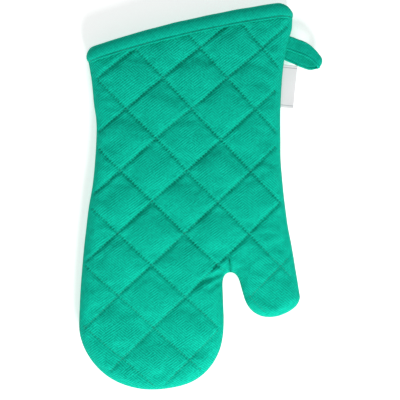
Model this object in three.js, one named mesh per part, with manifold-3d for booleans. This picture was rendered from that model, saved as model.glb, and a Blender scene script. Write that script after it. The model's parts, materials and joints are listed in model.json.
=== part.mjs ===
// Quilted oven mitt, lying flat on its palm with the back of the hand up.
// Millimetres, +Z up. The fingers point to -Y, the cuff is at +Y and the thumb is on the +X side.
// Each side is a sandwich of outer cloth, wadding and lining, quilted through with one thread.
// The bound cuff is cut obliquely. A tape loop and a woven label are caught in the thumb-side seam.
import * as THREE from 'three';
import { mergeVertices } from 'three/addons/utils/BufferGeometryUtils.js';
import Module from 'manifold-3d';

const wasm = await Module();
wasm.setup();

// Whole mitt
const halfThickness = 12.5;
const edgeRound = 11;        // how far in from the side seam the padded edge rolls over
const halfRim = 0.5;         // upright part of the edge, either side of the seam
const edgeSteps = 2;
const outlineSteps = 5;      // straight runs in each curve of the outline
const partGap = 0.3;         // between pieces that touch on the real mitt

// Depth of each layer's two faces below the outer skin
const clothDepth = [0, 1.2];
const waddingDepth = [1.5, 6.5];
const liningDepth = [6.8, 7.8];
const boundClothDepth = [1.5, 2.7];      // inside the cuff binding the sandwich is pressed thinner
const boundWaddingDepth = 3.0;
const bindingInnerDepth = [8.1, 9.3];
const beyondSkin = 1;        // how far a cut runs past the face it opens

// Cuff: height of the bound edge above the origin, as a shallow sloping arch across X
const cuffMiddle = 152.2;
const cuffSlope = 0.217;
const cuffArch = 0.000615;
const cuffSteps = 8;
// Half sizes of the blocks that cut the body, well past it each way
const cutWidth = 120;
const cutLength = 240;
const cutHeight = 40;
const bindingWidth = 13.5;
const bindingFold = 1.2;     // thickness of tape folded over the raw edge
const bindingStitch = 11.9;  // from the raw edge to the topstitching
const stitchThread = 0.6;

// Quilting: two fans of nearly parallel lines, given by their height where they cross quiltX
const quiltX = -9.2;
const quiltThread = 0.6;
const quiltGroove = [1.2, 0.9];          // width and depth pressed into the cloth
const risingLines = { first: -1, last: 5, angle: 39.5, turn: 1.3, height: 118.7, step: -44.6, ease: -1.4 };
const fallingLines = {
  first: -1, last: 6, angle: -47.9, turn: 1.2, height: 135.1, step: -60.5, ease: 1.1,
};
const quiltInset = 10.2;     // quilting stops where the edge rolls over, and short of the cuff binding
const quiltMargin = 1.5;

// Bends of the padded mitt: a point on the hinge line, the way the moving end lies, and the half angle
// of the V that each side leaves open. span is how far the cut runs along the hinge line.
const fingerBend = { at: [-42, -80], away: [0, -1], halfAngle: 35, span: [-68, 80] };
const thumbBend = { at: [54.4, -59.2], away: [0.6, -0.8], halfAngle: 30, span: [-52, 38] };
const bendGap = 0.4;
const bendRise = 16;         // height of the V, just past the skin
const bendReach = 140;       // how far the moving end runs past the hinge line

// Seam thread, buried where the two sides are sewn together
const seamInset = 4;
const seamThread = 0.6;

// Hanging loop: folded tape standing out of the thumb-side seam
const loopRoot = [77.8, 118.4];
const loopReach = 26.4;
const loopTape = { width: 12.8, thickness: 1.6 };
const loopEase = 0.2;        // how much thinner the tape is pressed
const loopHeight = 9.2;
const loopDroop = 27;        // degrees that the loop leans towards the fingers
const loopLegSplay = 0.6;    // sideways offset of the two legs for each mm of height
const loopSwell = [0.3, 0.35, 0.75];     // shares of the reach over which the legs spread apart

// Side label: a woven strip folded double, with both ends in the seam
const labelTop = [73, 112];
const labelBottom = [69.4, 75.2];
const labelReach = 9.6;
const labelLayer = 0.5;

// Materials
function makeMaterial(color, roughness) {
  return new THREE.MeshStandardMaterial({ color, roughness, metalness: 0 });
}
const twill = makeMaterial(0x0aaf92, 0.9);
const tape = makeMaterial(0x0cb596, 0.85);
const liningCotton = makeMaterial(0x12a88d, 0.92);
const polyesterWadding = makeMaterial(0xf0efe9, 0.95);
const sewingThread = makeMaterial(0x0a9f84, 0.6);
const whiteSatin = makeMaterial(0xebebee, 0.55);

const mitt = new THREE.Group();

// --- Solids -------------------------------------------------------------------------------------

function solid(geometry) {
  const bare = geometry.clone();
  bare.deleteAttribute('normal');
  bare.deleteAttribute('uv');
  const welded = mergeVertices(bare, 1e-4);
  return new wasm.Manifold(new wasm.Mesh({
    numProp: 3,
    vertProperties: Float32Array.from(welded.attributes.position.array),
    triVerts: Uint32Array.from(welded.index.array),
  }));
}

function addMesh(name, body, material) {
  const { vertProperties, triVerts } = body.getMesh();
  const geometry = new THREE.BufferGeometry();
  geometry.setAttribute('position', new THREE.BufferAttribute(vertProperties, 3));
  geometry.setIndex(new THREE.BufferAttribute(triVerts, 1));
  geometry.computeVertexNormals();
  const mesh = new THREE.Mesh(geometry, material);
  mesh.name = name;
  mitt.add(mesh);
}

const bulkiestFirst = (body) => body.decompose().sort((one, other) => other.volume() - one.volume());

// Prism along the third axis of a frame, from a shape drawn on its first two
function prism(shape, [from, to], xAxis, yAxis, zAxis, origin = new THREE.Vector3()) {
  const geometry = new THREE.ExtrudeGeometry(shape, { depth: to - from, bevelEnabled: false });
  geometry.translate(0, 0, from);
  geometry.applyMatrix4(new THREE.Matrix4().makeBasis(xAxis, yAxis, zAxis).setPosition(origin));
  return solid(geometry);
}

const alongX = new THREE.Vector3(1, 0, 0);
const alongY = new THREE.Vector3(0, 1, 0);
const alongZ = new THREE.Vector3(0, 0, 1);

function polygon(points) {
  return new THREE.Shape(points.map(([x, y]) => new THREE.Vector2(x, y)));
}

// --- Outline ------------------------------------------------------------------------------------

// Drawn past the cuff, which is cut to its slope afterwards
function mittOutline() {
  const outline = new THREE.Shape();
  outline.moveTo(-98, 186);
  outline.lineTo(-95.5, 116);
  outline.bezierCurveTo(-80.5, 50, -103, -30, -104, -104);           // little-finger side, waisted
  outline.bezierCurveTo(-104, -138, -76.4, -165.6, -42.4, -165.6);   // finger end
  outline.bezierCurveTo(-2.9, -165.6, 19.3, -143.5, 19.3, -104);
  outline.lineTo(18.3, -76);
  outline.bezierCurveTo(18.3, -68.5, 21, -65.4, 25.5, -65.4);        // crotch of the thumb
  outline.bezierCurveTo(34, -65.4, 34.5, -78, 37.6, -87);
  outline.bezierCurveTo(40.5, -98, 49, -103.7, 59, -103.7);          // thumb end
  outline.bezierCurveTo(69, -103.7, 85.5, -95.5, 84, -86);
  outline.bezierCurveTo(76, -38, 54, 72, 77.8, 142);                 // thumb side, waisted
  outline.lineTo(79.5, 186);
  return outline;
}

// Padded slab whose skin lies a given depth inside the mitt's outer skin, all round
function padded(depth) {
  const reach = edgeRound - depth;
  const geometry = new THREE.ExtrudeGeometry(mittOutline(), {
    depth: 2 * halfRim,
    bevelThickness: halfThickness - halfRim - depth,
    bevelSize: reach,
    bevelOffset: -edgeRound,
    bevelSegments: edgeSteps,
    curveSegments: outlineSteps,
  });
  geometry.translate(0, 0, -halfRim);
  return solid(geometry);
}

// Upright slab on the outline drawn in by a given inset
function upright(inset, [low, high]) {
  const cap = 0.05;
  const geometry = new THREE.ExtrudeGeometry(mittOutline(), {
    depth: high - low - 2 * cap,
    bevelThickness: cap,
    bevelSize: 0,
    bevelOffset: -inset,
    bevelSegments: 1,
    curveSegments: outlineSteps,
  });
  geometry.translate(0, 0, low + cap);
  return solid(geometry);
}

const cuffHeight = (x) => cuffMiddle + cuffSlope * x - cuffArch * x * x;

// Everything below the cuff line, lowered by a given amount
function belowCuff(lowered) {
  const block = new THREE.Shape();
  block.moveTo(-cutWidth, -cutLength);
  block.lineTo(cutWidth, -cutLength);
  for (let step = 0; step <= cuffSteps; step += 1) {
    const x = cutWidth - (2 * cutWidth * step) / cuffSteps;
    block.lineTo(x, cuffHeight(x) - lowered);
  }
  return prism(block, [-cutHeight, cutHeight], alongX, alongY, alongZ);
}

// Everything past a bend, with the V's clearance on the near side (-1) or the far side (+1)
function pastBend(bend, side, margin = 0) {
  const start = side * (bendGap + margin);
  const lean = start + side * bendRise * Math.tan(THREE.MathUtils.degToRad(bend.halfAngle));
  const section = polygon([
    [start, 0], [lean, -bendRise], [bendReach, -bendRise], [bendReach, bendRise], [lean, bendRise],
  ]);
  const away = new THREE.Vector3(...bend.away, 0);
  const along = new THREE.Vector3().crossVectors(away, alongZ);
  return prism(section, bend.span, away, alongZ, along, new THREE.Vector3(...bend.at, 0));
}

function bySegment(body, margin = 0) {
  return {
    hand: body.subtract(pastBend(fingerBend, -1, margin)).subtract(pastBend(thumbBend, -1, margin)),
    fingers: body.intersect(pastBend(fingerBend, 1, margin)),
    thumb: body.intersect(pastBend(thumbBend, 1, margin)),
  };
}

const everything = polygon([
  [-cutWidth, -cutLength], [cutWidth, -cutLength], [cutWidth, cutLength], [-cutWidth, cutLength],
]);
const sides = {
  back: prism(everything, [partGap / 2, cutHeight], alongX, alongY, alongZ),
  palm: prism(everything, [-cutHeight, -partGap / 2], alongX, alongY, alongZ),
};

// --- Quilting -----------------------------------------------------------------------------------

function quiltBars(width, low, high) {
  const bars = [];
  for (const fan of [risingLines, fallingLines]) {
    for (let line = fan.first; line <= fan.last; line += 1) {
      const bar = new THREE.BoxGeometry(2 * cutLength, width, high - low);
      bar.rotateZ(THREE.MathUtils.degToRad(fan.angle + fan.turn * line));
      bar.translate(quiltX, fan.height + fan.step * line + fan.ease * line * line, (low + high) / 2);
      bars.push(solid(bar));
    }
  }
  return wasm.Manifold.union(bars);
}

const outward = { back: 1, palm: -1 };
const bindingStart = bindingWidth + partGap;

// One panel's quilting at a given depth below its outer face, cut to its bending segments
function quiltNet(side, width, depth, edgeClearance, bendClearance) {
  const outer = outward[side] * (halfThickness + beyondSkin);
  const inner = outward[side] * (halfThickness - depth);
  const quilted = upright(quiltInset + edgeClearance, [-2 * halfThickness, 2 * halfThickness])
    .intersect(belowCuff(bindingStart + quiltMargin + edgeClearance));
  const bars = quiltBars(width, Math.min(outer, inner), Math.max(outer, inner));
  return bySegment(bars.intersect(quilted), bendClearance);
}

// --- The sandwich -------------------------------------------------------------------------------

const clothBody = padded(clothDepth[0]).intersect(belowCuff(bindingStart))
  .add(padded(boundClothDepth[0]).intersect(belowCuff(0)))
  .subtract(padded(clothDepth[1]).intersect(belowCuff(bindingStart + clothDepth[1])))
  .subtract(padded(boundClothDepth[1]));

// Square ring that follows the outline, for the thread or for the slot that it lies in
function seamRing(clearance) {
  const half = seamThread / 2 + clearance;
  return upright(seamInset - half, [-half, half])
    .subtract(upright(seamInset + half, [-half - beyondSkin, half + beyondSkin]));
}
const seamPath = seamRing(0);
const seamSlot = seamRing(partGap);

const waddingBody = padded(waddingDepth[0]).intersect(belowCuff(bindingStart + waddingDepth[0]))
  .add(padded(boundWaddingDepth).intersect(belowCuff(0)))
  .subtract(padded(waddingDepth[1]))
  .subtract(seamSlot);

const liningBody = padded(liningDepth[0]).intersect(belowCuff(0))
  .subtract(padded(liningDepth[1]));

for (const side of ['back', 'palm']) {
  const cloth = bySegment(clothBody.intersect(sides[side]));
  const wadding = bySegment(waddingBody.intersect(sides[side]));
  const lining = bySegment(liningBody.intersect(sides[side]));
  const thread = quiltNet(side, quiltThread, quiltThread, partGap, partGap);
  const groove = quiltNet(side, ...quiltGroove, 0, -beyondSkin);
  for (const segment of ['hand', 'fingers', 'thumb']) {
    const [net] = bulkiestFirst(thread[segment].intersect(padded(0)));
    const [slot] = bulkiestFirst(groove[segment]);
    addMesh(`${side}_cloth_${segment}`, cloth[segment].subtract(slot), twill);
    addMesh(`${side}_wadding_${segment}`, wadding[segment], polyesterWadding);
    addMesh(`${side}_lining_${segment}`, lining[segment], liningCotton);
    addMesh(`${side}_quilting_thread_${segment}`, net, sewingThread);
  }
}

// Seam thread: the hand holds three runs of it, either side of the two bends
const seamRuns = bySegment(seamPath.intersect(belowCuff(bindingStart)));
const [littleFingerRun, thumbSideRun, crotchRun] = bulkiestFirst(seamRuns.hand);
addMesh('seam_thread_little_finger_side', littleFingerRun, sewingThread);
addMesh('seam_thread_thumb_side', thumbSideRun, sewingThread);
addMesh('seam_thread_crotch', crotchRun, sewingThread);
addMesh('seam_thread_fingers', seamRuns.fingers, sewingThread);
addMesh('seam_thread_thumb', seamRuns.thumb, sewingThread);

// --- Cuff binding -------------------------------------------------------------------------------

const layersInBinding = padded(clothDepth[1])
  .subtract(padded(bindingInnerDepth[0]))
  .intersect(belowCuff(-partGap));
const [, bindingSkin] = bindingInnerDepth;
const stitchBand = (half) => belowCuff(bindingStitch - half).subtract(belowCuff(bindingStitch + half));
const stitchSlotBand = stitchBand(stitchThread / 2 + partGap);
const outerStitch = padded(0).subtract(padded(stitchThread)).intersect(stitchBand(stitchThread / 2));
const outerSlot = padded(-beyondSkin).subtract(padded(stitchThread + partGap)).intersect(stitchSlotBand);
const innerStitch = padded(bindingSkin - stitchThread)
  .subtract(padded(bindingSkin))
  .intersect(stitchBand(stitchThread / 2));
const innerSlot = padded(bindingSkin - stitchThread - partGap)
  .subtract(padded(bindingSkin + partGap))
  .intersect(stitchSlotBand);

const binding = padded(0)
  .intersect(belowCuff(-partGap - bindingFold))
  .subtract(belowCuff(bindingWidth))
  .subtract(layersInBinding)
  .subtract(padded(bindingSkin))
  .subtract(outerSlot)
  .subtract(innerSlot);
addMesh('cuff_binding', binding, tape);
addMesh('binding_stitch_outside', outerStitch, sewingThread);
addMesh('binding_stitch_inside', innerStitch, sewingThread);

// --- Hanging loop -------------------------------------------------------------------------------

// Drop shape seen along the seam: pinched where the tape enters it, round at the fold
function loopSection(inset) {
  const root = loopTape.thickness - inset;
  const half = loopHeight / 2 - inset;
  const bend = loopReach - loopHeight / 2;
  const [leave, spread, full] = loopSwell.map((share) => bend * share);
  const drop = new THREE.Shape();
  drop.moveTo(0, -root);
  drop.bezierCurveTo(leave, -root, spread, -half, full, -half);
  drop.lineTo(bend, -half);
  drop.absarc(bend, 0, half, -Math.PI / 2, Math.PI / 2, false);
  drop.lineTo(full, half);
  drop.bezierCurveTo(spread, half, leave, root, 0, root);
  if (inset === 0) {
    drop.absarc(0, 0, root, Math.PI / 2, Math.PI * 1.5, false);
  }
  return drop;
}

function loopPrism(section, [low, high]) {
  const geometry = new THREE.ExtrudeGeometry(section, {
    depth: high - low,
    bevelEnabled: false,
    curveSegments: 6,
  });
  geometry.translate(0, 0, low);
  geometry.rotateX(Math.PI / 2);
  geometry.translate(0, loopTape.width, 0);
  geometry.applyMatrix4(new THREE.Matrix4().makeShear(
    -Math.tan(THREE.MathUtils.degToRad(loopDroop)), 0, 0, 0, 0, loopLegSplay,
  ));
  geometry.translate(...loopRoot, 0);
  return solid(geometry);
}

const loopBody = loopPrism(loopSection(0), [0, loopTape.width]);
const loopEye = loopPrism(
  loopSection(loopTape.thickness - loopEase),
  [-beyondSkin, loopTape.width + beyondSkin],
);
addMesh('hanging_loop', loopBody.subtract(loopEye), tape);

// --- Side label ---------------------------------------------------------------------------------

const labelLine = new THREE.Vector3(labelTop[0] - labelBottom[0], labelTop[1] - labelBottom[1], 0);
const labelLength = labelLine.length();
const alongLabel = labelLine.normalize();
const acrossLabel = new THREE.Vector3().crossVectors(alongLabel, alongZ);
const labelHalf = labelLayer * 1.5;      // two layers with a slit of the same thickness between them
const fold = new THREE.Shape();
fold.absarc(0, 0, labelHalf, Math.PI / 2, Math.PI * 1.5, false);
fold.absarc(labelReach, 0, labelHalf, -Math.PI / 2, Math.PI / 2, false);
const slit = polygon([
  [labelHalf, -labelLayer / 2],
  [labelReach, -labelLayer / 2],
  [labelReach, labelLayer / 2],
  [labelHalf, labelLayer / 2],
]);
const labelFoot = new THREE.Vector3(...labelTop, 0);
const downLabel = alongLabel.clone().negate();
const labelBody = prism(fold, [0, labelLength], acrossLabel, alongZ, downLabel, labelFoot);
const labelSlit = prism(
  slit,
  [-beyondSkin, labelLength + beyondSkin],
  acrossLabel,
  alongZ,
  downLabel,
  labelFoot,
);
addMesh('side_label', labelBody.subtract(labelSlit), whiteSatin);

// --- Placing: the centre of the footprint is the origin, and the mitt rests on Z = 0 ------------

const middle = new THREE.Box3().setFromObject(mitt).getCenter(new THREE.Vector3());
mitt.position.set(-middle.x, -middle.y, halfThickness);

export default mitt;
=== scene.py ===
import json
import math
import bmesh
import bpy
import numpy as np
from mathutils import Matrix, Vector
from mathutils.bvhtree import BVHTree
from mathutils.geometry import interpolate_bezier

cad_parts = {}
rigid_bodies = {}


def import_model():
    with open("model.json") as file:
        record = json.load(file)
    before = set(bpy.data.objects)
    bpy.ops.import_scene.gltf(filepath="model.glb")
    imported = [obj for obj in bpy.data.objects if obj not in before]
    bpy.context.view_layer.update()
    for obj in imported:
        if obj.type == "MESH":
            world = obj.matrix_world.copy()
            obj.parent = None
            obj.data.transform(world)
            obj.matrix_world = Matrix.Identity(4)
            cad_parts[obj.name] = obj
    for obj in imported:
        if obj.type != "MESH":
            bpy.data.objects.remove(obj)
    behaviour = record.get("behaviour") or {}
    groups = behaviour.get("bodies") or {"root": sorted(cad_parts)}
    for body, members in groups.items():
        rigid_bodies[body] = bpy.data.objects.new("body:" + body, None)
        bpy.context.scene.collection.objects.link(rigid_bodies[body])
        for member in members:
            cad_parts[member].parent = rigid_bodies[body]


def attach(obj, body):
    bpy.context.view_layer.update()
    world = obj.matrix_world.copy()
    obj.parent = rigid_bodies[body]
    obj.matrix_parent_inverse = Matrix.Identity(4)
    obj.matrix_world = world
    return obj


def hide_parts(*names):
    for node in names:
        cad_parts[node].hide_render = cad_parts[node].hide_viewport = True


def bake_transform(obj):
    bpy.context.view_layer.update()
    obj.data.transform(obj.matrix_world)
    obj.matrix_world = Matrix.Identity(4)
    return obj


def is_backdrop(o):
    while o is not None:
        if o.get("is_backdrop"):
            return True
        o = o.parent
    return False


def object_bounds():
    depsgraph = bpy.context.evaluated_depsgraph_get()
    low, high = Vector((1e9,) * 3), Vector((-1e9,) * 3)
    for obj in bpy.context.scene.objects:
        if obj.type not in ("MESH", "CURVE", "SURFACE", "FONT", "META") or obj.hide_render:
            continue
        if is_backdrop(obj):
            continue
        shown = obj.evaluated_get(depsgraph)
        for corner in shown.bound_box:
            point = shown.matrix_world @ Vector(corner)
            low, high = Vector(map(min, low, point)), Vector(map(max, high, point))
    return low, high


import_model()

mm = 0.001
cadLow, cadHigh = [v.copy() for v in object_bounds()]
print("frame loaded", [round(v / mm, 1) for v in cadHigh - cadLow])

# The pattern is drawn about its own origin, and the frame says where that lies.
pattern = {
    "left": -104, "bottom": -165.6,
    "start": (-98, 186),
    "path": [
        [(-95.5, 116)],
        [(-80.5, 50), (-103, -30), (-104, -104)],          # little-finger side, waisted
        [(-104, -138), (-76.4, -165.6), (-42.4, -165.6)],  # finger end
        [(-2.9, -165.6), (19.3, -143.5), (19.3, -104)],
        [(18.3, -76)],
        [(18.3, -68.5), (21, -65.4), (25.5, -65.4)],       # crotch of the thumb
        [(34, -65.4), (34.5, -78), (37.6, -87)],
        [(40.5, -98), (49, -103.7), (59, -103.7)],         # thumb end
        [(69, -103.7), (85.5, -95.5), (84, -86)],
        [(76, -38), (54, 72), (77.8, 142)],                # thumb side
        [(79.5, 186)],
    ],
    "curveSteps": 28,
}
origin = Vector((cadLow.x - pattern["left"] * mm, cadLow.y - pattern["bottom"] * mm,
                 (cadLow.z + cadHigh.z) / 2))

tiny = 1e-9           # keeps a division by a length from failing

# Cuff edge: height across the pattern, as a shallow sloping arch
cuff = {"middle": 152.2, "slope": 0.217, "arch": 0.000615}


def cuffHeight(x):
    return (cuff["middle"] + cuff["slope"] * x / mm - cuff["arch"] * (x / mm) ** 2) * mm


def smooth(t):
    t = np.clip(t, 0, 1)
    return t * t * (3 - 2 * t)


def outlinePath():
    points = [Vector((*pattern["start"], 0))]
    for step in pattern["path"]:
        ends = [Vector((*p, 0)) for p in step]
        if len(ends) == 1:
            points.append(ends[0])
        else:
            points += interpolate_bezier(points[-1], *ends, pattern["curveSteps"])[1:]
    return np.array([(p.x, p.y) for p in points]) * mm


sidePath = outlinePath()


def nearestOn(path, points):
    # distance, nearest point and the way from the point to it, for each point
    a, b = path[:-1], path[1:]
    run = b - a
    best = np.full(len(points), np.inf)
    near = np.zeros((len(points), 2))
    for i in range(len(a)):
        t = np.clip(((points - a[i]) @ run[i]) / (run[i] @ run[i]), 0, 1)
        spot = a[i] + t[:, None] * run[i]
        far = np.linalg.norm(points - spot, axis=1)
        closer = far < best
        best[closer] = far[closer]
        near[closer] = spot[closer]
    return best, near


def insideOutline(points):
    # even-odd test against the closed outline
    a, b = sidePath, np.roll(sidePath, -1, axis=0)
    inside = np.zeros(len(points), bool)
    for (x0, y0), (x1, y1) in zip(a, b):
        if y0 == y1:
            continue
        crosses = (y0 > points[:, 1]) != (y1 > points[:, 1])
        inside ^= crosses & (points[:, 0] < (x1 - x0) * (points[:, 1] - y0) / (y1 - y0) + x0)
    return inside


ripples = {"waves": 9, "pace": (0.6, 1.5), "shift": 6.28}


def softNoise(co, size, seed):
    # smooth random undulation of about one unit, the same every run
    rng = np.random.default_rng(seed)
    out = np.zeros(len(co))
    for _ in range(ripples["waves"]):
        way = rng.normal(size=3)
        way *= rng.uniform(*ripples["pace"]) / np.linalg.norm(way)
        out += np.sin(co @ way * (2 * math.pi / size) + rng.uniform(0, ripples["shift"]))
    return out / math.sqrt(ripples["waves"])


def wander(points):
    # a sewn line never runs quite straight
    flat = np.column_stack([points, np.zeros(len(points))])
    return softNoise(flat, quilt["wanderSize"] * mm, quilt["wanderSeed"]) * quilt["wander"] * mm


# Quilting: two fans of nearly parallel lines
quilt = {
    "x": -9.2,             # the heights of the lines are counted where they cross this x
    "rising": {"first": -1, "last": 5, "angle": 39.5, "turn": 1.3,
               "height": 118.7, "step": -44.6, "ease": -1.4},
    "falling": {"first": -1, "last": 6, "angle": -47.9, "turn": 1.2,
                "height": 135.1, "step": -60.5, "ease": 1.1},
    "edgeGap": 4.2,       # from the side seam to the first stitch
    "cuffGap": 14.6,      # from the cuff edge
    "pitch": 2.75,
    "stitch": 2.0,
    "thread": 0.5,
    "proud": 0.12,        # how far a stitch stands off the cloth
    "foot": 0.35,         # where its needle holes are, as a share of the pitch
    "wander": 0.35,
    "wanderSize": 70,
    "wanderSeed": 31,
}


def fanLines(fan):
    lines = []
    for k in range(fan["first"], fan["last"] + 1):
        turn = math.radians(fan["angle"] + fan["turn"] * k)
        start = np.array((quilt["x"], fan["height"] + fan["step"] * k + fan["ease"] * k * k)) * mm
        lines.append((start, np.array((math.cos(turn), math.sin(turn)))))
    return lines


fans = {name: fanLines(quilt[name]) for name in ("rising", "falling")}


def fanField(lines, points):
    # signed distance to the nearest line of a fan, how far along it, and which one
    far = np.full(len(points), np.inf)
    along = np.zeros(len(points))
    which = np.zeros(len(points), int)
    stray = wander(points)
    for i, (start, way) in enumerate(lines):
        off = points - start
        d = way[0] * off[:, 1] - way[1] * off[:, 0] - stray
        closer = np.abs(d) < np.abs(far)
        far[closer] = d[closer]
        along[closer] = (off @ way)[closer]
        which[closer] = i
    return far, along, which


# Padded body
body = {
    "voxel": 3.0,
    "slabHalf": 7.0,       # half height of the slab that is rolled into the padded edge
    "edgeIn": 11.0,        # how far in the edge rolls over
    "valley": 9.7,         # half thickness along the quilting
    "crown": 3.5,          # how far the wadding may lift the cloth between the seams
    "rim": 0.6,            # this close to the outline, its own direction is used
    "strayFade": 9.0,      # how far in the stray of the edge is felt
    "catch": 0.52,         # points this close to a seam line are pinned to it, in voxels
    "flank": 5.0,          # the edge below this height has no quilting
    "edgeHold": (5, 9),    # the edge is held up to here, and eases off over the second figure
    "cuffHold": (15, 3),   # the same, down from the cuff
    "frames": 20,
    "seamPinch": (1.2, 1.5),
    "quickSpan": 20,
    "quickCurve": 2.2,
}
clothSettings = {
    "quality": 6,
    "mass": 0.3,
    "tension_stiffness": 15,
    "compression_stiffness": 15,
    "shear_stiffness": 5,
    "bending_stiffness": 0.5,
    "use_pressure": True,
    "uniform_pressure_force": 6.0,
    "shrink_min": -0.03,   # cloth eased in between the seams
    "vertex_group_mass": "held",
}


def toMesh(bm, name):
    mesh = bpy.data.meshes.new(name)
    bm.to_mesh(mesh)
    bm.free()
    obj = bpy.data.objects.new(name, mesh)
    bpy.context.scene.collection.objects.link(obj)
    return obj


def applied(obj):
    # the object's mesh with its modifiers applied
    graph = bpy.context.evaluated_depsgraph_get()
    graph.update()
    seen = obj.evaluated_get(graph)
    mesh = bpy.data.meshes.new_from_object(seen, preserve_all_data_layers=True, depsgraph=graph)
    obj.modifiers.clear()
    old = obj.data
    obj.data = mesh
    bpy.data.meshes.remove(old)
    return obj


def coords(mesh):
    co = np.empty(len(mesh.vertices) * 3, np.float32)
    mesh.vertices.foreach_get("co", co)
    return co.reshape(-1, 3).astype(float)


def setCoords(mesh, co):
    mesh.vertices.foreach_set("co", co.astype(np.float32).ravel())
    mesh.update()


def slab(half, voxel, name):
    bm = bmesh.new()
    face = bm.faces.new([bm.verts.new((x, y, -half)) for x, y in sidePath])
    raised = bmesh.ops.extrude_face_region(bm, geom=[face])["geom"]
    top = [g for g in raised if isinstance(g, bmesh.types.BMVert)]
    bmesh.ops.translate(bm, vec=(0, 0, 2 * half), verts=top)
    bmesh.ops.recalc_face_normals(bm, faces=bm.faces)
    bmesh.ops.triangulate(bm, faces=bm.faces)
    obj = toMesh(bm, name)
    remesh = obj.modifiers.new("even", "REMESH")
    remesh.mode, remesh.voxel_size, remesh.adaptivity = "VOXEL", voxel, 0
    return applied(obj)


def edgeProfile(reach, height, steps=60):
    # the rolled edge as arc length against inset and height, from the side seam up
    turn = np.linspace(0, math.pi / 2, steps)
    inset, up = reach * (1 - np.cos(turn)), height * np.sin(turn)
    arc = np.concatenate([[0], np.cumsum(np.hypot(np.diff(inset), np.diff(up)))])
    return arc, inset, up


# The sewn edge strays from the cutting pattern: x, y and how far outwards, all in mm
strays = np.array([
    (-96, 106, 1.7), (-90, 35, -0.9), (-99, -35, 0.7), (-102, -80, 0.4), (-90, -143, 2.2),
    (-45, -163, 1.1), (9, -142, 2.5), (18, -90, 0.9), (45, -98, 1.5), (60, -105, 0.9),
    (80, -75, 1.7), (71, 5, 0.8), (67, 75, 1.7), (74, 124, 0.9)])
strayReach = 17.0     # how far along the edge each one is felt


def edgeStray(points):
    # blends the strays by how near they are
    off = points[:, None, :] / mm - strays[None, :, :2]
    weight = np.exp(-(off ** 2).sum(2) / (2 * strayReach ** 2)) + tiny
    return (weight * strays[:, 2]).sum(1) / weight.sum(1)


def rollEdge(obj, depth, height):
    # turns the flat slab into a body whose edge rolls over; keeps the flat cloth position of every point
    co = coords(obj.data)
    half = body["slabHalf"] * mm
    far, near = nearestOn(sidePath, co[:, :2])
    inside = insideOutline(co[:, :2])
    out = np.where(inside, 1, -1)[:, None] * (near - co[:, :2]) / np.maximum(far, tiny)[:, None]
    rim = far < body["rim"] * mm
    out[rim] = outwardAt(near[rim])
    far = np.where(inside, far, 0)
    arc, inset, up = edgeProfile((body["edgeIn"] - depth) * mm, height)
    walk = np.abs(co[:, 2]) + far
    stretch = arc[-1] / (half + body["edgeIn"] * mm)
    newInset = np.interp(walk * stretch, arc, inset) + np.maximum(0, walk - arc[-1] / stretch)
    newUp = np.interp(walk * stretch, arc, up)
    flat = near - out * (walk - half)[:, None]
    stray = edgeStray(near) * mm * np.exp(-newInset / (body["strayFade"] * mm))
    xy = near - out * (newInset + depth * mm - stray)[:, None]
    z = np.sign(co[:, 2]) * newUp
    setCoords(obj.data, np.column_stack([xy, z]))
    return walk * stretch, flat


def outwardAt(spots):
    # outward direction of the outline at points that lie on it
    run = np.diff(sidePath, axis=0)
    normal = np.column_stack([-run[:, 1], run[:, 0]]) / np.linalg.norm(run, axis=1)[:, None]
    a, b = sidePath[:-1], sidePath[1:]
    out = np.zeros_like(spots)
    for i, p in enumerate(spots):
        t = np.clip(((p - a) * run).sum(1) / (run * run).sum(1), 0, 1)
        j = np.argmin(np.linalg.norm(a + t[:, None] * run - p, axis=1))
        out[i] = -normal[j]
    return out


def keepAttribute(obj, name, values):
    kept = obj.data.attributes.new(name, "FLOAT_VECTOR", "POINT")
    kept.data.foreach_set("vector", np.ascontiguousarray(values, np.float32).ravel())


def quilted(points, extra=0.0):
    # where the quilting is: clear of the side seam and the cuff
    far, _ = nearestOn(sidePath, points)
    low = cuffHeight(points[:, 0]) - points[:, 1]
    return (far > (quilt["edgeGap"] + extra) * mm) & (low > (quilt["cuffGap"] + extra) * mm)


def pinSeams(obj, arc):
    # moves points near the quilting onto its lines, and says how firmly each point is held
    co = coords(obj.data)
    held = np.zeros(len(co))
    for lines in fans.values():
        far, _, which = fanField(lines, co[:, :2])
        near = (np.abs(far) < body["catch"] * body["voxel"] * mm) & (np.abs(co[:, 2]) > body["flank"] * mm)
        for i, (start, way) in enumerate(lines):
            mine = near & (which == i)
            co[mine, :2] -= far[mine, None] * np.array((-way[1], way[0]))
        held[near] = 1
    reach, ease = body["edgeHold"]
    held = np.maximum(held, 1 - smooth((arc / mm - reach) / ease))
    reach, ease = body["cuffHold"]
    held = np.maximum(held, smooth((co[:, 1] - cuffHeight(co[:, 0]) + reach * mm) / (ease * mm)))
    setCoords(obj.data, co)
    return co, held


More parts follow.
